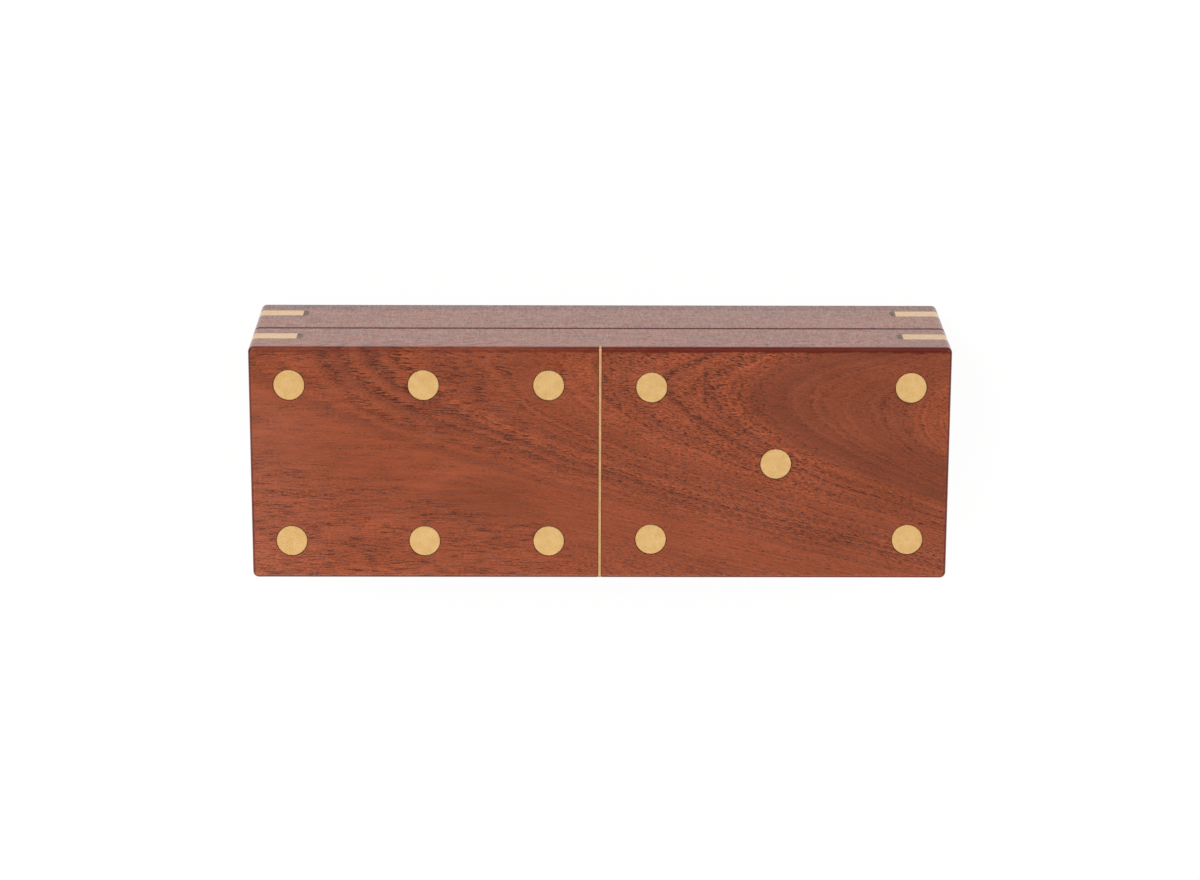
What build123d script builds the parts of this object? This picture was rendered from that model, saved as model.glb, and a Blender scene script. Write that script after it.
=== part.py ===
from build123d import *

import os
from math import radians, tan

# Domino storage box: a hinged hardwood case whose lid is inlaid as a six-five domino.
# Millimetres. The case lies on its base: X runs along it, -Y is the side that opens, +Y is the
# hinge side and +Z is up. The origin is the middle of the underside.

# Case
case_length = 180.0
case_width = 62.0
base_height = 25.3  # underside to the base's rim
lid_height = 19.3  # the lid's rim to its top
seam_gap = 0.3  # between the two rims when shut
wall = 7.0
base_panel_thickness = 6.0
lid_panel_thickness = 6.4
corner_radius = 1.5  # the four upright corners
edge_round = 1.0  # around the top and the underside
rim_round = 0.4  # the eased arris along the seam

# Brass let into the lid's top
pip_diameter = 8.0
pip_depth = 3.0
pip_edge = 0.15
inner_column = 13.2  # pip centres from the divider
middle_column = 45.3
outer_margin = 10.3  # the outer pips' centres from the lid's ends
six_margin = 10.1  # the rows' centres from the lid's long edges
five_margin = 10.6
divider_width = 0.7
divider_depth = 1.5
glue_gap = 0.1  # round each pip, strap and strip

# Brass straps let into the corners
strap_leg = 11.8
strap_width = 5.2
strap_thickness = 1.5
base_strap_height = 9.7  # strap's middle above the underside
lid_strap_drop = 11.2  # strap's middle below the top
slot_overrun = 1.5  # the slot past the strap's end, made good with filler
slot_end_radius = 1.6

# Hinges, on the +Y side
hinge_inset = 35.0  # the hinges' middles from the ends
hinge_length = 22.0
hinge_opening = 96.0  # where the two bevels meet
knuckle_count = 5
knuckle_gap = 0.15
knuckle_radius = 1.7
knuckle_setback = 0.4  # the barrel inside the back face
pocket_gap = 0.3  # between the barrel and the wood
leaf_thickness = 0.8
pin_radius = 0.7
pin_gap = 0.05
pin_head_radius = 1.2
pin_head_thickness = 0.4
pin_head_round = 0.25

# Screws, two in each leaf
screw_spacing = 13.0
screw_radius = 0.75
screw_length = 7.0
screw_head_radius = 1.35
screw_tip = 1.2
screw_gap = 0.05
driver_slot_width = 0.4
driver_slot_depth = 0.3

# Magnets in the front rims
magnet_inset = 30.0  # from the ends
magnet_radius = 2.0
magnet_thickness = 2.0
magnet_gap = 0.05

# Worked out from the sizes above
lid_rim = base_height + seam_gap
seam = base_height + seam_gap / 2  # height of the hinge line
case_height = lid_rim + lid_height
lid_joint = case_height - lid_panel_thickness  # where the lid's walls meet its panel
inside_length = case_length - 2 * wall
inside_width = case_width - 2 * wall
back = case_width / 2
axis_y = back - knuckle_radius - knuckle_setback
bevel_slope = tan(radians(hinge_opening / 2))
leaf_edge = back - wall  # the leaves' inner edge, flush with the inside of the wall
screw_y = (leaf_edge + axis_y - knuckle_radius) / 2
hinge_x = case_length / 2 - hinge_inset
magnet_x = case_length / 2 - magnet_inset
magnet_y = (wall - case_width) / 2
knuckle_pitch = (hinge_length + knuckle_gap) / knuckle_count
knuckle_length = knuckle_pitch - knuckle_gap
lid_strap_height = case_height - lid_strap_drop
clear = 5.0  # how far a cutting shape stands past what it cuts

hinges = {"left": -hinge_x, "right": hinge_x}
magnets = {"left": -magnet_x, "right": magnet_x}
corners = {
    "front_left": (-1, -1),
    "front_right": (1, -1),
    "back_left": (-1, 1),
    "back_right": (1, 1),
}


def save(piece, name):
    """Labels a finished piece and writes it as its own file."""
    piece.label = name
    export_step(piece, f"parts/{name}.step")


# Shapes that the walls, the straps and the filler share


def outer_skin():
    """The outermost part of the walls in plan, as thick as a strap."""
    inner_length = case_length - 2 * strap_thickness
    inner_width = case_width - 2 * strap_thickness
    with BuildSketch() as skin:
        RectangleRounded(case_length, case_width, corner_radius)
        Rectangle(inner_length, inner_width, mode=Mode.SUBTRACT)
    return skin.sketch


def corner_square(leg, side_x, side_y):
    """The square of that leg at one corner of the case, in plan."""
    with BuildSketch() as square:
        with Locations((side_x * (case_length - leg) / 2, side_y * (case_width - leg) / 2)):
            Rectangle(leg, leg)
    return square.sketch


def strap_blank(middle_z, width, leg, side_x, side_y):
    """An L of the outer skin, reaching as far as leg along both sides of one corner."""
    with BuildPart() as blank:
        with BuildSketch(Plane.XY.offset(middle_z - width / 2)):
            add(outer_skin())
            add(corner_square(leg, side_x, side_y), mode=Mode.INTERSECT)
        extrude(amount=width)
    return blank.part


def strap_slot(middle_z, side_x, side_y):
    """What the slot takes out of the walls: longer than the strap, with its ends rounded."""
    width = strap_width + 2 * glue_gap
    leg = strap_leg + slot_overrun
    with BuildPart() as slot:
        add(strap_blank(middle_z, width, leg, side_x, side_y))
        end_x = slot.faces().filter_by(Axis.X).sort_by(Axis.X, reverse=side_x > 0)[-1]
        end_y = slot.faces().filter_by(Axis.Y).sort_by(Axis.Y, reverse=side_y > 0)[-1]
        fillet(end_x.edges().filter_by(Axis.Y), slot_end_radius)
        fillet(end_y.edges().filter_by(Axis.X), slot_end_radius)
    return slot.part


# Walls. Here and below, inward is the way from a half's rim into its wood: -1 in the base, 1 in the lid.


def bevel(inward):
    """The wedge that a half loses behind the hinge line, so that the lid can swing back."""
    reach = back + clear - axis_y
    with BuildPart() as wedge:
        with BuildSketch(Plane.YZ):
            with BuildLine():
                Polyline(
                    (axis_y, seam),
                    (axis_y + reach, seam),
                    (axis_y + reach, seam + inward * reach * bevel_slope),
                    close=True,
                )
            make_face()
        extrude(amount=case_length / 2 + clear, both=True)
    return wedge.part


def wall_frame(joint_z, rim_z, inward, strap_z):
    """One half's four walls before they are parted at the mitres."""
    pocket_reach = hinge_length / 2 + pin_head_thickness + pocket_gap
    with BuildPart() as frame:
        with BuildSketch(Plane.XY.offset(rim_z)):
            RectangleRounded(case_length, case_width, corner_radius)
            Rectangle(inside_length, inside_width, mode=Mode.SUBTRACT)
        extrude(amount=joint_z - rim_z)
        rim_face = frame.faces().sort_by(Axis.Z, reverse=inward > 0)[-1]
        fillet(rim_face.outer_wire().edges(), rim_round)
        add(bevel(inward), mode=Mode.SUBTRACT)
        for middle_x in hinges.values():
            with BuildSketch(Plane.YZ.offset(middle_x)):
                with Locations((axis_y, seam)):
                    Circle(knuckle_radius + pocket_gap)
            extrude(amount=pocket_reach, both=True, mode=Mode.SUBTRACT)
            with BuildSketch(Plane.XY.offset(rim_z)):
                with Locations((middle_x, (leaf_edge - clear + axis_y) / 2)):
                    Rectangle(hinge_length, axis_y - leaf_edge + clear)
            extrude(amount=inward * leaf_thickness, mode=Mode.SUBTRACT)
            with BuildSketch(Plane.XY.offset(rim_z)):
                with Locations((middle_x, screw_y)):
                    with GridLocations(screw_spacing, 0, 2, 1):
                        Circle(screw_radius + screw_gap)
            extrude(amount=inward * (screw_length + screw_gap), mode=Mode.SUBTRACT)
        with BuildSketch(Plane.XY.offset(rim_z)):
            with Locations((-magnet_x, magnet_y), (magnet_x, magnet_y)):
                Circle(magnet_radius + magnet_gap)
        extrude(amount=inward * magnet_thickness, mode=Mode.SUBTRACT)
        for side_x, side_y in corners.values():
            add(strap_slot(strap_z, side_x, side_y), mode=Mode.SUBTRACT)
    return frame.part


def save_walls(half, frame):
    """Parts a frame into its four walls, which meet in mitres at the corners."""
    out_x = case_length / 2 + clear
    out_y = case_width / 2 + clear
    ridge = (case_length - case_width) / 2  # where two mitre planes meet, on the long middle line
    outlines = {
        "left": ((-out_x, -out_y), (-out_x, out_y), (-ridge, 0)),
        "right": ((out_x, -out_y), (out_x, out_y), (ridge, 0)),
        "front": ((-out_x, -out_y), (out_x, -out_y), (ridge, 0), (-ridge, 0)),
        "back": ((-out_x, out_y), (out_x, out_y), (ridge, 0), (-ridge, 0)),
    }
    for side, outline in outlines.items():
        with BuildPart() as wall_piece:
            add(frame)
            with BuildSketch(Plane.XY):
                Polygon(*outline, align=None)
            extrude(amount=case_height, mode=Mode.INTERSECT)
        save(wall_piece.part, f"{half}_{side}_wall")


# Panels and inlay


def panel_blank(joint_z, outer_z):
    """A board as large as the case, glued on at joint_z and rounded where it meets the open air."""
    with BuildPart() as blank:
        with BuildSketch(Plane.XY.offset(joint_z)):
            RectangleRounded(case_length, case_width, corner_radius)
        extrude(amount=outer_z - joint_z)
        outer_face = blank.faces().sort_by(Axis.Z, reverse=outer_z < joint_z)[-1]
        fillet(outer_face.outer_wire().edges(), edge_round)
    return blank.part


def pip_places():
    """Name and place of each pip: six on the +X half of the lid, five on the -X half."""
    outer_column = case_length / 2 - outer_margin
    six_row = case_width / 2 - six_margin
    five_row = case_width / 2 - five_margin
    places = {}
    for number, x in enumerate((inner_column, middle_column, outer_column), start=1):
        places[f"six_pip_front_{number}"] = (x, -six_row)
        places[f"six_pip_back_{number}"] = (x, six_row)
    for number, x in enumerate((inner_column, outer_column), start=1):
        places[f"five_pip_front_{number}"] = (-x, -five_row)
        places[f"five_pip_back_{number}"] = (-x, five_row)
    places["five_pip_middle"] = (-middle_column, 0)
    return places


def divider_bar(width):
    """A bar across the lid's top between the two numbers, past both sides and above."""
    with BuildPart() as bar:
        with BuildSketch(Plane.XY.offset(case_height - divider_depth)):
            Rectangle(width, case_width + 2 * clear)
        extrude(amount=divider_depth + clear)
    return bar.part


def save_lid_top():
    """The lid's panel with its pips and divider."""
    blank = panel_blank(lid_joint, case_height)
    places = pip_places()
    with BuildPart() as panel:
        add(blank)
        with BuildSketch(Plane.XY.offset(case_height)):
            with Locations(*places.values()):
                Circle(pip_diameter / 2 + glue_gap)
        extrude(amount=-pip_depth, mode=Mode.SUBTRACT)
        add(divider_bar(divider_width + 2 * glue_gap), mode=Mode.SUBTRACT)
    save(panel.part, "lid_panel")

    with BuildPart() as strip:
        add(blank)
        add(divider_bar(divider_width), mode=Mode.INTERSECT)
    save(strip.part, "lid_divider_strip")

    for name, (x, y) in places.items():
        with BuildPart() as pip:
            with BuildSketch(Plane.XY.offset(case_height - pip_depth)):
                with Locations((x, y)):
                    Circle(pip_diameter / 2)
            extrude(amount=pip_depth)
            fillet(pip.faces().sort_by(Axis.Z)[-1].edges(), pip_edge)
        save(pip.part, name)


# Corner straps


def save_straps(half, strap_z):
    """The four brass straps of a half, and the filler in the ends of their slots."""
    fillers = []
    for corner, (side_x, side_y) in corners.items():
        strap = strap_blank(strap_z, strap_width, strap_leg, side_x, side_y)
        save(strap, f"{half}_strap_{corner}")
        taken = strap_blank(strap_z, strap_width + 2 * glue_gap, strap_leg, side_x, side_y)
        with BuildPart() as filler:
            add(strap_slot(strap_z, side_x, side_y))
            add(taken, mode=Mode.SUBTRACT)
        fillers += filler.part.solids()
    save(Compound(children=fillers), f"{half}_slot_filler")


# Hinges


def hinge_leaf(middle_x, rim_z, inward, own_knuckles):
    """One leaf, let into its rim, with the knuckles that it carries."""
    first_x = middle_x - hinge_length / 2 + knuckle_length / 2
    plate_end = axis_y - knuckle_radius - knuckle_gap
    head = screw_head_radius + screw_gap
    shank = screw_radius + screw_gap
    with BuildPart() as leaf:
        with BuildSketch(Plane.XY.offset(rim_z)):
            with Locations((middle_x, (leaf_edge + plate_end) / 2)):
                Rectangle(hinge_length, plate_end - leaf_edge)
            for knuckle in own_knuckles:
                with Locations((first_x + knuckle * knuckle_pitch, (leaf_edge + axis_y) / 2)):
                    Rectangle(knuckle_length, axis_y - leaf_edge)
        extrude(amount=inward * leaf_thickness)
        for knuckle in own_knuckles:
            with BuildSketch(Plane.YZ.offset(first_x + knuckle * knuckle_pitch)):
                with Locations((axis_y, seam)):
                    Circle(knuckle_radius)
            extrude(amount=knuckle_length / 2, both=True)
        with BuildSketch(Plane.YZ.offset(middle_x)):
            with Locations((axis_y, seam)):
                Circle(pin_radius + pin_gap)
        extrude(amount=hinge_length / 2 + clear, both=True, mode=Mode.SUBTRACT)
        with BuildSketch(Plane.XY.offset(rim_z)):
            with Locations((middle_x, screw_y)):
                with GridLocations(screw_spacing, 0, 2, 1):
                    Circle(head)
        extrude(amount=inward * (head - shank), taper=45, mode=Mode.SUBTRACT)
        with BuildSketch(Plane.XY.offset(rim_z)):
            with Locations((middle_x, screw_y)):
                with GridLocations(screw_spacing, 0, 2, 1):
                    Circle(shank)
        extrude(amount=inward * leaf_thickness, mode=Mode.SUBTRACT)
    return leaf.part


def hinge_pin(middle_x):
    """The pin, headed over both ends of the barrel."""
    half_barrel = hinge_length / 2
    with BuildPart() as pin:
        with BuildSketch(Plane.YZ.offset(middle_x)):
            with Locations((axis_y, seam)):
                Circle(pin_radius)
        extrude(amount=half_barrel, both=True)
        for end in (-1, 1):
            with BuildSketch(Plane.YZ.offset(middle_x + end * half_barrel)):
                with Locations((axis_y, seam)):
                    Circle(pin_head_radius)
            extrude(amount=end * pin_head_thickness)
        outer_rims = pin.edges().filter_by(GeomType.CIRCLE).sort_by(Axis.X)
        fillet([outer_rims[0], outer_rims[-1]], pin_head_round)
    return pin.part


def screw(x, rim_z, inward):
    """A slotted countersunk wood screw, its head flush with the leaf."""
    cone_z = rim_z + inward * (screw_head_radius - screw_radius)
    tip_z = rim_z + inward * screw_length
    with BuildPart() as body:
        with BuildSketch(Plane.XZ.offset(-screw_y)):
            with BuildLine():
                Polyline(
                    (x, rim_z),
                    (x + screw_head_radius, rim_z),
                    (x + screw_radius, cone_z),
                    (x + screw_radius, tip_z - inward * screw_tip),
                    (x, tip_z),
                    close=True,
                )
            make_face()
        revolve(axis=Axis((x, screw_y, 0), (0, 0, 1)))
        with BuildSketch(Plane.XY.offset(rim_z)):
            with Locations((x, screw_y)):
                Rectangle(2 * screw_head_radius + clear, driver_slot_width)
        extrude(amount=inward * driver_slot_depth, mode=Mode.SUBTRACT)
    return body.part


def save_hinges():
    """Both hinges: a leaf and its screws for each half, and a pin."""
    base_knuckles = range(0, knuckle_count, 2)
    lid_knuckles = range(1, knuckle_count, 2)
    halves = {
        "base": (base_height, -1, base_knuckles),
        "lid": (lid_rim, 1, lid_knuckles),
    }
    for side, middle_x in hinges.items():
        for half, (rim_z, inward, own_knuckles) in halves.items():
            leaf = hinge_leaf(middle_x, rim_z, inward, own_knuckles)
            save(leaf, f"{side}_hinge_{half}_leaf")
            places = (middle_x - screw_spacing / 2, middle_x + screw_spacing / 2)
            screws = [screw(x, rim_z, inward) for x in places]
            save(Compound(children=screws), f"{side}_hinge_{half}_screws")
        save(hinge_pin(middle_x), f"{side}_hinge_pin")


# Magnets


def save_magnets(half, rim_z, inward):
    """A disc magnet near each end of the front rim, flush with it."""
    for side, x in magnets.items():
        with BuildPart() as magnet:
            with BuildSketch(Plane.XY.offset(rim_z)):
                with Locations((x, magnet_y)):
                    Circle(magnet_radius)
            extrude(amount=inward * magnet_thickness)
        save(magnet.part, f"{half}_magnet_{side}")


# The whole box

os.makedirs("parts", exist_ok=True)

save(panel_blank(base_panel_thickness, 0), "base_panel")
save_walls("base", wall_frame(base_panel_thickness, base_height, -1, base_strap_height))
save_walls("lid", wall_frame(lid_joint, lid_rim, 1, lid_strap_height))
save_lid_top()
save_straps("base", base_strap_height)
save_straps("lid", lid_strap_height)
save_hinges()
save_magnets("base", base_height, -1)
save_magnets("lid", lid_rim, 1)
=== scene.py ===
# %% [markdown]
# # A domino case in polished wood and brass
# The case is a long hinged box shaped like one domino. Its shape comes from the CAD model,
# so this lesson adds only what the model can't carry: the wood, the brass, the light and
# the camera. Every length below is in millimetres unless a line says otherwise.

import math

import bpy
from mathutils import Matrix, Vector


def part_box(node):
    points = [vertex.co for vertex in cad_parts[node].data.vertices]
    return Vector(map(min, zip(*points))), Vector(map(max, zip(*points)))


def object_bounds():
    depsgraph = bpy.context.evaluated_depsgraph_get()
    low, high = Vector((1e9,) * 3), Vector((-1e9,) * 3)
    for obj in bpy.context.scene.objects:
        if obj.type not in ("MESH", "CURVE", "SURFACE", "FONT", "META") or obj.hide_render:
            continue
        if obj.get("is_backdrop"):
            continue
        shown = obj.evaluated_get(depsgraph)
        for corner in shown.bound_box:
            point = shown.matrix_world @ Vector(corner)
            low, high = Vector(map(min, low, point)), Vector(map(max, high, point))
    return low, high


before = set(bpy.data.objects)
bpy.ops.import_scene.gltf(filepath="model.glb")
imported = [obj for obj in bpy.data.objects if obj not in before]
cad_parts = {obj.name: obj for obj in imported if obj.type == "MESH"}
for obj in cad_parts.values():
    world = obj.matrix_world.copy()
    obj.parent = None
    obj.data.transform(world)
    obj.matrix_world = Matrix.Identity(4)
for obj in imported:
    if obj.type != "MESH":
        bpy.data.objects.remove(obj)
case_low, case_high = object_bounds()
case_size = (case_high - case_low) * 1000
print("nodes:", len(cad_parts), "case in mm:", [round(side, 1) for side in case_size])

# %% [markdown]
# ## Arithmetic on wires
# A shader is a tree of small nodes, and most of them only add, multiply or compare. This
# class lets a line of Python stand for them: a wire times two is a Math node. Every other
# node comes from one method, which sets the node up before it fills in the sockets.

# %% A wire between two nodes
class Wire:
    """One output of a node. Arithmetic on wires adds the Math nodes that do it."""

    def __init__(self, tree, socket=None):
        self.tree = tree
        self.socket = socket

    def node(self, kind, inputs=None, output=0, stops=(), **settings):
        """Add a node to this wire's tree and return one of its outputs as a wire."""
        made = self.tree.nodes.new("ShaderNode" + kind)
        for name, value in settings.items():
            setattr(made, name, value)
        for number, (position, colour) in enumerate(stops):
            row = made.color_ramp.elements
            stop = row[number] if number < 2 else row.new(position)
            stop.position = position
            stop.color = colour
        for name, value in (inputs or {}).items():
            if isinstance(value, Wire):
                self.tree.links.new(value.socket, made.inputs[name])
            else:
                made.inputs[name].default_value = value
        return Wire(self.tree, made.outputs[output]) if made.outputs else None

    def maths(self, operation, first, second=0.0):
        return self.node("Math", {0: first, 1: second}, operation=operation)

    def __add__(self, other):
        return self.maths("ADD", self, other)

    def __radd__(self, other):
        return self.maths("ADD", other, self)

    def __sub__(self, other):
        return self.maths("SUBTRACT", self, other)

    def __rsub__(self, other):
        return self.maths("SUBTRACT", other, self)

    def __mul__(self, other):
        return self.maths("MULTIPLY", self, other)

    def __rmul__(self, other):
        return self.maths("MULTIPLY", other, self)

    def __truediv__(self, other):
        return self.maths("DIVIDE", self, other)

    def __abs__(self):
        return self.maths("ABSOLUTE", self)

    def root(self):
        return self.maths("SQRT", self)

    def cosine(self):
        return self.maths("COSINE", self)

    def above(self, other):
        """The larger of this and another value."""
        return self.maths("MAXIMUM", self, other)

    def below(self, other):
        """The smaller of this and another value."""
        return self.maths("MINIMUM", self, other)

    def fade(self, low, high):
        """0 below low, 1 above high and a soft step between them. It also runs downwards."""
        if low < high:
            ends = {"From Min": low, "From Max": high, "To Min": 0.0, "To Max": 1.0}
        else:
            ends = {"From Min": high, "From Max": low, "To Min": 1.0, "To Max": 0.0}
        return self.node("MapRange", {"Value": self, **ends}, interpolation_type="SMOOTHSTEP")

    def shaded(self, light, grey=0.008):
        """This colour, lighter or darker by a factor, and with it a little grey."""
        change = (light - 1) * grey
        return self.node("VectorMath", {0: self, 1: light, 2: change}, operation="MULTIPLY_ADD")

    def cloud(self, scale=1.0, detail=2.0, roughness=0.5):
        """Soft noise over a place."""
        return self.node("TexNoise", {"Vector": self, "Scale": scale, "Detail": detail,
                                      "Roughness": roughness})

    def stripes(self, scale=1.0, detail=2.0, roughness=0.5):
        """Soft noise along a number, so that it makes bands."""
        return self.node("TexNoise", {"W": self, "Scale": scale, "Detail": detail,
                                      "Roughness": roughness}, noise_dimensions="1D")


# %% [markdown]
# ## Colours, places and the shader
# A few helpers start and end every finish. All of them read the place on the case itself,
# so a pattern stays on its piece when the lid opens, and runs on from piece to piece.

# %% Colours and places
def paint(red, green, blue):
    """A colour as it is read off a screen, 0 to 255, made into the light values a shader takes."""
    light = [((part / 255 + 0.055) / 1.055) ** 2.4 if part > 10 else part / 3294.6
             for part in (red, green, blue)]
    return (*light, 1.0)


def mixed(factor, first, second):
    """Lay the second colour over the first by a factor."""
    return factor.node("Mix", {0: factor, 6: first, 7: second}, output=2, data_type="RGBA")


def place(x, y, z):
    """Join three values into one place."""
    wire = next(value for value in (x, y, z) if isinstance(value, Wire))
    return wire.node("CombineXYZ", {0: x, 1: y, 2: z})


def blank(holder):
    """Empty the nodes of a material or a world, and return a loose wire to start from."""
    holder.use_nodes = True
    holder.node_tree.nodes.clear()
    return Wire(holder.node_tree)


print("half grey on screen is", round(paint(128, 128, 128)[0], 3), "as light")

# %% Start and close a finish
def new_finish(name):
    """Start a finish: its material, and the place on the case in millimetres as x, y and z."""
    finish = bpy.data.materials.new(name)
    spot = blank(finish).node("TexCoord", output="Object")
    axes = spot.node("SeparateXYZ", {0: spot})
    x, y, z = (Wire(axes.tree, socket) * 1000 for socket in axes.socket.node.outputs)
    return finish, x, y, z


def close_finish(colour, roughness, height, depth, metal=0.0, gloss=0.5, lacquer=0.0):
    """Close a finish: a colour, a gloss and a fine relief, depth deep in millimetres."""
    bump = height.node("Bump", {"Height": height, "Strength": 1.0, "Distance": depth / 1000})
    shader = height.node("BsdfPrincipled", {
        "Base Color": colour, "Roughness": roughness, "Metallic": metal,
        "Specular IOR Level": gloss, "Coat Weight": lacquer, "Coat Roughness": 0.25,
        "Normal": bump})
    height.node("OutputMaterial", {"Surface": shader})


# %% [markdown]
# ## Where the brass sits
# The wood is a little darker where it meets the brass, because glue and polish stay in the
# joint. The wood finish therefore needs to know how far it is from the nearest pip. The
# centres are read from the model, so that the finish follows the pips if they move.

# %% Find the pips, the strip and the joints
pip_nodes = sorted(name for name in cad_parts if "_pip_" in name)
pip_centres = [(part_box(name)[0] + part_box(name)[1]) * 500 for name in pip_nodes]
pip_radius = (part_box(pip_nodes[0])[1].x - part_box(pip_nodes[0])[0].x) * 500
strip_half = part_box("lid_divider_strip")[1].x * 1000
lid_low, lid_high = (corner * 1000 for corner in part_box("lid_panel"))
base_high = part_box("base_panel")[1] * 1000
seam_height = (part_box("base_front_wall")[1].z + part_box("lid_front_wall")[0].z) * 500
print("pips:", len(pip_centres), "radius:", round(pip_radius, 2), "seam at:", round(seam_height, 2))


def from_pips(x, y):
    """How far a place is from the centre of the nearest pip."""
    here = place(x, y, 0.0)
    nearest = None
    for centre in pip_centres:
        there = (centre.x, centre.y, 0.0)
        far = here.node("VectorMath", {0: here, 1: there}, output="Value", operation="DISTANCE")
        nearest = far if nearest is None else nearest.below(far)
    return nearest


# %% [markdown]
# ## The wood
# The case is a red-brown hardwood with open pores. Cut along the tree, each pore shows as a
# dark dash a few millimetres long, and cut across it, as a dot. A stretched noise does both:
# it is long along the fibres and short across them, and a threshold leaves only its peaks.
# Around the pores the wood varies from hair-fine lines to patches as long as a finger. All
# of this is one factor of light on one colour, because real wood gets darker without
# changing its hue much. Dark wood also turns a trace greyer, which the factor adds.

# %% Fibres and polish
def grain(along, across, deep, length, width, detail=1.0):
    """Noise that is drawn out along the fibres."""
    return place(along / length, across / width, deep / width).cloud(1.0, detail)


def polished(base, dash, along, across, deep, crowd, edge, lively, gloss=0.36, lacquer=0.0):
    """Finish a wood. dash is the noise that the pores follow, and crowd how many there are."""
    slow = grain(along, across, deep, 24, 8, 2.0)
    flame = grain(along, across, deep, 6, 1.1, 2.0)
    hair = grain(along, across, deep, 7, 0.22)
    fine = grain(along, across + 9, deep, 0.8, 0.27)
    pore = (dash + crowd * 0.06).fade(0.52, 0.70)
    light = (slow - 0.5) * 0.5 + (flame - 0.5) * (crowd * 0.5 + 0.2) + (hair - 0.5) * 0.4
    light = light - (fine - 0.5) * (crowd * 1.6 + 0.6) - (dash - 0.5) * (crowd * 1.5 + 0.2)
    light = light * lively + 1.0 - pore * (crowd * 0.3 + 0.15) * lively
    # The dark colour goes over real dark joints and glue lines, and also over painted shade at the
    # edges and the seam.
    colour = mixed(edge, base.shaded(light.above(0.35)), paint(98, 20, 4))
    roughness = 0.22 + pore * 0.14 + (slow - 0.5) * 0.1
    close_finish(colour, roughness, hair * 0.2 - pore * 0.8, 0.015, 0.0, gloss, lacquer)


# %% [markdown]
# ## The lid board: fibres
# The top board is the show piece. Its fibres run along the board in the six half and lean in
# the five half, where the saw passed near a branch. A curve that is flat on one side and
# steep on the other bends them. The pores follow the fibres: long dashes in the six half,
# short and wavy ones in the five half, with a soft change between the two.

# %% Lay the fibres of the lid board
lid_wood, x, y, z = new_finish("lid wood")
along = -1 * x
across = case_high.y * 1000 - y
deep = lid_high.z - z
sway = place(along / 22, across / 14, deep / 14).cloud(1.0, 2.0) - 0.5
five_half = along.fade(-30, 20)
turned = along + across * 0.8 - 4
lean = 0.14 * (turned + (turned * turned + 400).root())
wave = (grain(along, across, deep, 2.5, 6.0) - 0.5) * 0.8 * five_half
fibre = across + lean * (1.1 - across * 0.010) + sway * 3 + wave
streak = grain(along, fibre, deep, 3.6, 0.34, 1.5)
ripple = grain(along + 40, fibre, deep, 1.7, 0.31, 1.5)
dash = streak * (1 - five_half) + ripple * five_half
print("fibres take", len(lid_wood.node_tree.nodes), "nodes")

# %% [markdown]
# ## The lid board: rings
# The yearly rings lean across the middle and curl round like a wave in the five half. Nested
# parabolas do this: each ring is one value of a field, and the square root spaces the rings
# evenly. Real rings have no smooth edge, because each fibre crosses them as a fine tooth.
# The dashes are therefore added to the field, which combs every ring along the fibres.

# %% Grow the rings of the lid board
rise = 53.9 - 0.119 * along - across
rings = (100 - along + 0.0986 * rise * rise).above(1.0).root()
rings = rings + sway * 0.7 + (dash - 0.5) * 0.5 + deep * 0.12
curly = (along + across * 1.6).fade(-10, 50)
bands = rings.stripes(8.0, 1.5) * curly + grain(along, fibre, deep, 12, 1.6, 2.0) * (1 - curly)


def by_ring(table):
    """A value that changes from ring to ring. The table gives it at some of them."""
    stops = [(ring / last_ring, (value, value, value, 1.0)) for ring, value in table]
    return rings.node("ValToRGB", {0: rings / last_ring}, stops=stops)


last_ring = 28
season = by_ring((
    (3.5, 1.08), (4.4, 1.0), (5.0, 0.82), (6.3, 0.88), (7.1, 0.76), (7.8, 0.82), (8.0, 1.02),
    (8.3, 1.20), (8.5, 0.78), (8.7, 1.22), (9.0, 0.80), (9.3, 1.16), (9.7, 0.90), (10.3, 1.14),
    (11.0, 0.94), (11.5, 1.04), (11.9, 0.88), (12.3, 1.20), (12.55, 0.70), (12.8, 1.10),
    (13.0, 0.74), (13.3, 1.12), (13.6, 0.96), (13.8, 1.12), (14.0, 0.86), (14.4, 1.10),
    (15.6, 1.06), (17.7, 1.02), (19.0, 1.10), (20.5, 1.04), (22.5, 1.16), (25.0, 1.10)))
crowding = by_ring((
    (3.5, 0.5), (5.0, 0.3), (6.2, 0.0), (7.4, 0.0), (8.2, 1.0), (9.8, 1.0), (10.8, 0.55),
    (11.5, 0.6), (12.2, 1.0), (13.2, 0.8), (14.2, 0.3), (16.0, 0.1), (17.4, 0.6), (19.0, 0.7),
    (23.0, 0.8)))
print("fibres and rings take", len(lid_wood.node_tree.nodes), "nodes")

# %% [markdown]
# ## The lid board: a second curl
# Between the first two pips of the six half, dark streaks bend like a row of knees. They are
# ovals about a point past the front edge, a cosine apart, and the same dashes comb them. Soft
# steps keep them to their corner of the board.

# %% Bend the streaks of the six half
streak_pitch = 5.9
from_left, from_front = along + 38, across - 66
knee = (from_left * from_left + from_front * from_front * 1.7).root()
knee_zone = knee.fade(10, 15) * knee.fade(42, 35) * along.fade(-32, -46)
combed = knee - 16.5 + (dash - 0.5) * 6 + sway * 4
knee_streaks = (combed * (math.tau / streak_pitch)).cosine() * knee_zone
print("streaks are", streak_pitch, "mm apart")
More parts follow.
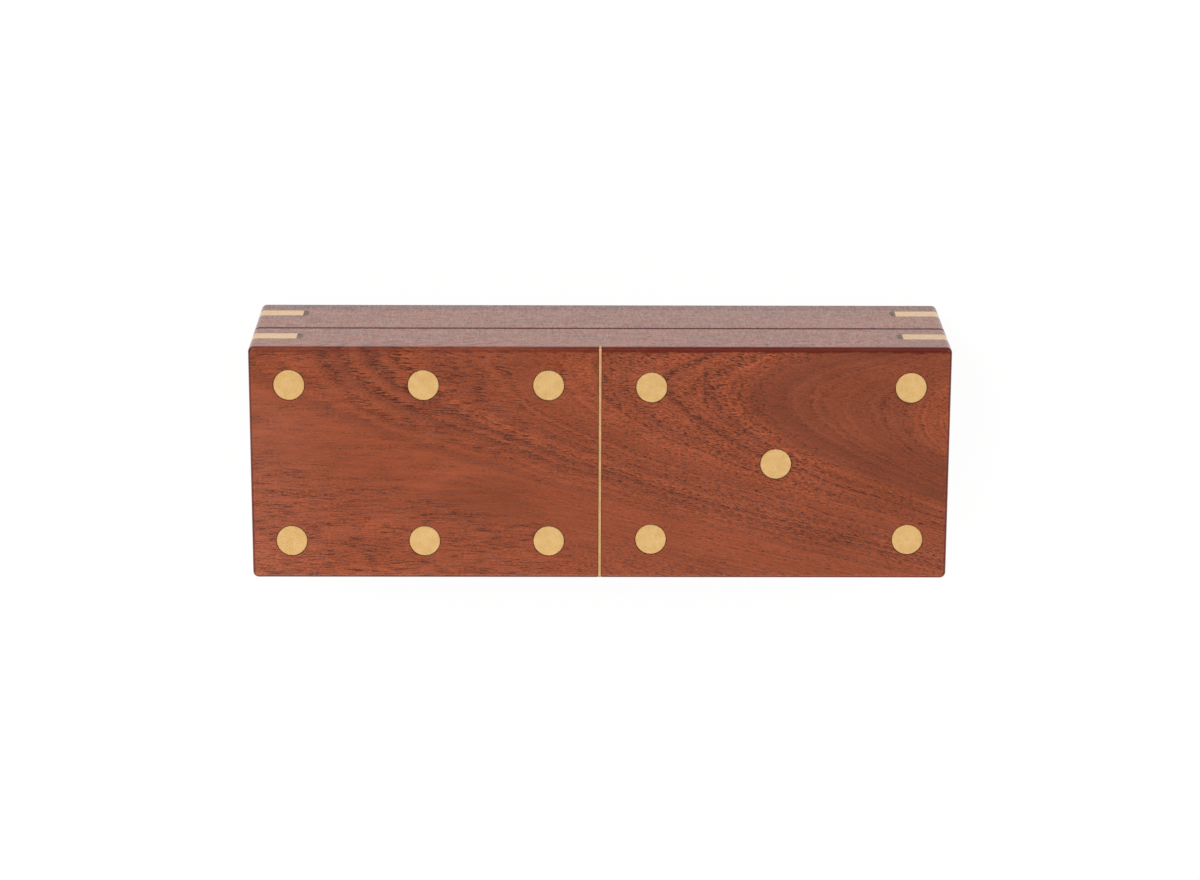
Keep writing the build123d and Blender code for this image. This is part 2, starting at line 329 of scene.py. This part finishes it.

# %% [markdown]
# ## The lid board: stains and painted shade
# Polish is darker where it gathers: in the joint round each pip and beside the strip. Along the
# rounded edges the wood is darkened as well, and that is painted shade, most of all at the front
# of the five half. None of it goes right through the board, so each stain and each band of
# painted shade ends a millimetre or two down.

# %% Stain the joints and paint shade along the edges of the lid board
ragged = place(along / 3, across / 1.5, deep / 1.5).cloud()
pip_joint = (from_pips(x, y) - pip_radius + (ragged - 0.5) * 0.3).fade(0.4, 0.05)
joint = (pip_joint + (abs(x) - strip_half).fade(0.3, 0.05)) * deep.fade(2.0, 1.0)
uneven = place(along / 30, 0.0, 0.0).cloud(1.0, 1.0).fade(0.25, 0.5)
# Painted shade: the front edge of the lid board is darkened, as if its rounding faced away from the
# light.
front_edge_painted_shade = (y - lid_low.y + (ragged - 0.5) * 1.2).fade(1.7, 1.0) * deep.fade(1.2, 0.8)
front_edge_painted_shade = front_edge_painted_shade * (uneven * 0.3 + five_half * 0.5 + 0.14)
# Painted shade along the end and back edges of the lid board as well.
other_edges_painted_shade = (abs(x) - case_high.x * 1000).above(y - case_high.y * 1000).fade(-0.9, -0.3)
# Real dark joints round the pips and the strip, plus the painted shade of the edges, in one mask.
joint_stain_and_edge_shade = joint * 0.25 + front_edge_painted_shade + other_edges_painted_shade * deep.fade(1.0, 0.5) * 0.7
print("fibres, rings and stains take", len(lid_wood.node_tree.nodes), "nodes")

# %% [markdown]
# ## The lid board: its colour
# Now the parts meet: the season's light on each ring, the bands between the rings, and the
# pores that crowd in some of them. Two areas of the board are calmer than the rest, the right
# end and the middle of the six half. One patch of the six half is darker. The end of the six
# half gets a painted reflection, a pale haze laid into its colour. The sawn inside of the lid
# has less polish and is paler.

# %% Finish the lid board
calm = along.fade(50, 70) * across.fade(6, 16) * across.fade(45, 30)
from_side, from_middle = (along + 29) / 2.2, across - 21
patch = (from_side * from_side + from_middle * from_middle).root().fade(9, 1)
# Painted reflection: a pale haze laid into the colour at the end of the six half.
end_painted_reflection = along.fade(-60, -95) * across.fade(54, 44) * 0.07
crowd = crowding * (0.8 - calm * 0.4) + (bands - 0.5) * 2.0 + knee_streaks * 0.4
lively = 0.95 - along.fade(10, -20) * (1 - crowding) * 0.25
wood = mixed(deep.fade(0.8, 2.0) * 0.5, paint(153, 76, 47), paint(172, 87, 54))
light = 1.0 - (bands - 0.5) * lively * 0.8 - calm * 0.1 - knee_streaks * 0.09 - knee_zone * 0.04
wood = wood.shaded(season, -0.014).shaded(light - patch * 0.22)
# The pale colour mixed in here is the painted reflection at the end of the six half.
polished(mixed(end_painted_reflection, wood, paint(254, 172, 147)), dash, along, fibre, deep,
         crowd.above(0.0).below(1.2), joint_stain_and_edge_shade.below(0.9), lively)
print("lid wood:", len(lid_wood.node_tree.nodes), "nodes")

# %% [markdown]
# ## The walls and the base board
# Four boards make the frame, mitred at the corners, and the case is sawn apart along the
# seam afterwards, so the grain runs on from the base into the lid. The boards are plainer
# than the lid board and browner. On a long wall the fibres run along the case, and on an
# end wall across it, which only swaps two directions of the same finish. Polish gathers in
# the glue line under the lid board, so it is darker. Along the seam the walls are darkened
# too, and that is painted shade. The walls have a lacquer that sank in unevenly. Its flecks
# hardly show from straight on, but at a flat angle, where the lacquer mirrors the white table,
# they give the walls their fine grey grain.

# %% Finish the walls and the base board
def plain_wood(name, tones, crosswise=False):
    """A quiet board. Crosswise turns the fibres from the length of the case to its width."""
    finish, x, y, z = new_finish(name)
    along, across = (y, x) if crosswise else (x, y)
    sway = place(along / 40, across / 12, z / 12).cloud(1.0, 2.0) - 0.5
    bands = (across * 0.35 + z * 0.5 + sway * 9 + along * 0.03).stripes(0.8, 2.0)
    base = mixed(bands.fade(0.3, 0.7), paint(*tones[0]), paint(*tones[1]))
    glue = [(abs(z - height) - 0.05).fade(0.2, 0.0) for height in (lid_low.z, base_high.z)]
    outside = (abs(y) - case_high.y * 1000).fade(-0.9, -0.4).above(
        (abs(x) - case_high.x * 1000).fade(-0.9, -0.4))
    # Painted shade: the walls are darkened within about a millimetre of the seam, where the lid
    # meets the base.
    seam = abs(z - seam_height).fade(1.3, 0.6) * outside
    fibre = across + sway * 2
    dash = grain(along, fibre, z, 3.6, 0.42, 2.0)
    crowd = ((bands - 0.5) * 1.6 + 0.5).above(0.0)
    fleck = place(along / 0.4, across / 2, z / 2).cloud(1.0, 1.0)
    polished(base, dash, along, fibre, z, crowd, (glue[0] + glue[1]) * 0.4 + seam, 0.6,
             gloss=0.05, lacquer=0.46 + (fleck - 0.5) * 1.1)
    return finish


wall_tones = ((144, 80, 56), (168, 93, 66))
long_wall_wood = plain_wood("long wall wood", wall_tones)
end_wall_wood = plain_wood("end wall wood", wall_tones, crosswise=True)
base_wood = plain_wood("base wood", ((122, 60, 40), (140, 68, 44)))
print("wall wood:", len(long_wall_wood.node_tree.nodes), "nodes")

# %% [markdown]
# ## The brass
# All the brass is solid and was sanded flush with the wood, so it is satin, not mirror
# bright: fine scratches, a little tarnish near the edge and tiny pits. The pips still show
# faint rings from the lathe, and the corner straps show scratches along their length. The
# straps lie under the walls' lacquer, which makes them paler when they are seen at a flat
# angle. That is a coat in the shader, and not a paler metal.

# %% Satin brass and its patterns
def brass(name, pattern, tone, darker, lacquer=0.0):
    """Satin brass. pattern takes x, y and z and returns the scratches and the tarnish."""
    finish, x, y, z = new_finish(name)
    scratches, tarnish = pattern(x, y, z)
    spot = place(x, y, z)
    cloudy = spot.cloud(0.45, 3.0)
    pits = spot.cloud(3.2, 2.0, 0.6).fade(0.60, 0.70)
    colour = mixed((cloudy - 0.5) * 2.2 + 0.3, paint(*tone), paint(*darker))
    colour = mixed((scratches - 0.5) * 2.0 + 0.2, colour, paint(*darker))
    colour = mixed(pits * 0.25 + tarnish * 0.5, colour, paint(150, 104, 58))
    roughness = 0.52 + (scratches - 0.5) * 0.2 + pits * 0.1
    close_finish(colour, roughness, scratches - pits * 0.5, 0.01, metal=1.0, lacquer=lacquer)
    print(name, len(finish.node_tree.nodes), "nodes")
    return finish


def lathe_rings(x, y, z):
    """Rings round each pip's centre, and tarnish at its edge."""
    out = from_pips(x, y)
    return out.stripes(3.0, 2.0), (out - pip_radius).fade(-0.4, 0.0) * 0.5


def along_strap(x, y, z):
    """Scratches along a strap, round its corner."""
    reach = abs(x) - abs(y)
    return place(reach / 9, z * 5, 0.0).cloud(1.0, 2.0), 0.0


def along_divider(x, y, z):
    """Scratches along the strip, and a dark line down each of its sides."""
    return place(x * 8, y / 6, z).cloud(1.0, 2.0), abs(x).fade(0.2, 0.34)


def rubbed(x, y, z):
    """Short scratches along the hinge line."""
    return place(x / 3, y * 4, z * 4).cloud(1.0, 2.0), 0.0


# %% Finish the brass
pip_brass = brass("pip brass", lathe_rings, (245, 205, 143), (228, 183, 116))
divider_brass = brass("divider brass", along_divider, (240, 192, 138), (216, 164, 112))
strap_brass = brass("strap brass", along_strap, (239, 198, 142), (220, 176, 114), lacquer=0.7)
hinge_brass = brass("hinge brass", rubbed, (214, 172, 106), (184, 140, 80))
screw_brass = brass("screw brass", rubbed, (206, 160, 96), (170, 126, 70))
pin_brass = brass("pin brass", rubbed, (206, 164, 100), (176, 132, 76))

# %% [markdown]
# ## Filler and magnets
# Each strap slot is milled a little too long, and the gap past the strap's end is stopped
# with a grey-brown filler, which is dull and grainy. The magnets in the rims are plated.

# %% Finish the filler and the magnets
slot_filler, x, y, z = new_finish("slot filler")
grit = place(x, y, z).cloud(2.4, 3.0, 0.6)
putty = mixed(grit.fade(0.35, 0.65), paint(120, 100, 94), paint(158, 140, 132))
close_finish(putty, 0.7 + grit * 0.2, grit, 0.02, gloss=0.3)

magnet_nickel, x, y, z = new_finish("magnet nickel")
swirl = place(x, y, z).cloud(1.6, 3.0)
plating = mixed(swirl.fade(0.3, 0.7), paint(196, 194, 188), paint(168, 165, 158))
close_finish(plating, 0.28 + swirl * 0.15, swirl, 0.005, metal=1.0)
print("filler:", len(slot_filler.node_tree.nodes), "magnets:", len(magnet_nickel.node_tree.nodes))

# %% [markdown]
# ## Put the finishes on
# Each piece comes from the model with a plain material that is named after its finish. The
# same names pick the real finish here, so no piece is named twice.

# %% Assign every finish
finishes = {
    "lid_panel_wood": lid_wood, "base_panel_wood": base_wood,
    "long_wall_wood": long_wall_wood, "end_wall_wood": end_wall_wood,
    "pip_brass": pip_brass, "divider_brass": divider_brass, "strap_brass": strap_brass,
    "slot_filler": slot_filler, "hinge_brass": hinge_brass, "screw_brass": screw_brass,
    "pin_brass": pin_brass, "magnet_nickel": magnet_nickel}
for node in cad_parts.values():
    for holder in node.material_slots:
        holder.material = finishes[holder.material.name]
print("finishes:", len(finishes))

# %% [markdown]
# ## The floor and the white room
# The case lies on a plain white sheet in a white room. The camera and the reflections see
# the sheet and the room at full white, but the case is lit by less, so that its colours
# come out as they are written. The sheet still takes part of its brightness from the lamps,
# which keeps a faint shadow under the case.

# %% Lay the floor and light the room
def looked_at(start):
    """1 for the rays of the camera, of reflections and through glass, and 0 for the light."""
    rays = start.node("LightPath").socket.node.outputs
    ways = [Wire(start.tree, rays["Is " + way]) for way in ("Camera Ray", "Glossy Ray",
                                                            "Transmission Ray")]
    return ways[0].above(ways[1]).above(ways[2])


white = (1.0, 1.0, 1.0, 1.0)
bpy.ops.object.select_all(action="DESELECT")
bpy.ops.mesh.primitive_plane_add(size=8.0, location=(0, 0, -0.0002))
floor = bpy.context.object
floor.name = "floor"
sheet_white = bpy.data.materials.new("floor white")
sheet = blank(sheet_white)
matt = sheet.node("BsdfDiffuse", {"Color": (0.85, 0.85, 0.85, 1.0)})
glow = sheet.node("Emission", {"Color": white, "Strength": 1.06})
sheet_light = sheet.node("MixShader", {0: looked_at(sheet) * 0.87, 1: matt, 2: glow})
sheet.node("OutputMaterial", {"Surface": sheet_light})
floor.data.materials.append(sheet_white)
floor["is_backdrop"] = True

room = bpy.data.worlds.new("white room")
bpy.context.scene.world = room
air = blank(room)
dim = air.node("Background", {"Color": white, "Strength": 0.5})
bright = air.node("Background", {"Color": white, "Strength": 1.0})
room_light = air.node("MixShader", {0: looked_at(air), 1: dim, 2: bright})
air.node("OutputWorld", {"Surface": room_light})
print("floor in metres:", [round(side, 1) for side in floor.dimensions])

# %% [markdown]
# ## Screens for the reflections
# A polished lid mirrors what is above it, and a white ceiling would lay a pale veil over the
# wood. In a studio the ceiling and the far walls are dark, and only the table is white. A
# grey plane above and a grey ring around give the same: reflections see them, while the
# camera and the light pass straight through.

# %% Hang the ceiling and the surround
screen_grey = bpy.data.materials.new("screen grey")
cloth = blank(screen_grey)
cloth.node("OutputMaterial", {
    "Surface": cloth.node("Emission", {"Color": white, "Strength": 0.22})})
bpy.ops.mesh.primitive_plane_add(size=1.8, location=(0, 0, 2.0))
ceiling = bpy.context.object
ceiling.name = "ceiling"
bpy.ops.mesh.primitive_cylinder_add(radius=3.0, depth=2.0, location=(0, 0, 1.1),
                                    end_fill_type="NOTHING")
surround = bpy.context.object
surround.name = "surround"
for screen in (ceiling, surround):
    screen.data.materials.append(screen_grey)
    screen.visible_camera = screen.visible_diffuse = screen.visible_shadow = False
    screen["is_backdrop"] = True
print("screens:", ceiling.name, surround.name)

# %% [markdown]
# ## The lamps
# Three square lamps stand round the case: a key light, a weaker fill light from the other
# side, and one behind. They are large and far off, so the shadows are soft and nothing clips.

# %% Stand the lamps
def softbox(name, spot, watts):
    """A square lamp, a metre wide, that faces the middle of the case."""
    bpy.ops.object.light_add(type="AREA", location=spot)
    lamp = bpy.context.object
    lamp.name = name
    lamp.data.energy = watts
    lamp.data.size = 1.0
    lamp.rotation_euler = (Vector((0, 0, 0.02)) - Vector(spot)).to_track_quat("-Z", "Y").to_euler()
    return lamp


key = softbox("key softbox", (0.9, -0.9, 1.6), 12)
fill = softbox("fill softbox", (-1.1, -0.5, 1.4), 6)
back = softbox("back softbox", (0.2, 1.3, 1.3), 5)
print("lamps in watts:", key.data.energy, fill.data.energy, back.data.energy)

# %% [markdown]
# ## The camera
# The camera hangs almost straight above the lid and looks a little along the case's front,
# so that wall shows as a narrow band above the lid. It is turned half round, with the front
# at the top of the picture. Its place and its lens were solved from the outline of the case.

# %% Hang the camera
eye = Vector((0.0063, -0.2711, 0.9535))
target = Vector((0.0, -0.0064, 0.0449))
back_axis = (eye - target).normalized()
right_axis = Vector((0, -1, 0)).cross(back_axis).normalized()
up_axis = back_axis.cross(right_axis)
roll = Matrix.Rotation(math.radians(0.2), 3, "Z")
camera_data = bpy.data.cameras.new("camera")
camera_data.lens = 110.42
camera_data.sensor_width = 36.0
camera = bpy.data.objects.new("camera", camera_data)
bpy.context.scene.collection.objects.link(camera)
axes = Matrix((right_axis, up_axis, back_axis)).transposed() @ roll
camera.matrix_world = Matrix.Translation(eye) @ axes.to_4x4()
bpy.context.scene.camera = camera
bpy.context.scene.view_settings.view_transform = "Standard"
print("camera:", [round(value, 3) for value in eye])

# %% Print how far the bounds of the case moved
seen_low, seen_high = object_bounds()
change = max(abs(a - b) for a, b in zip((*case_low, *case_high), (*seen_low, *seen_high)))
print("largest change in mm:", round(change * 1000, 4))
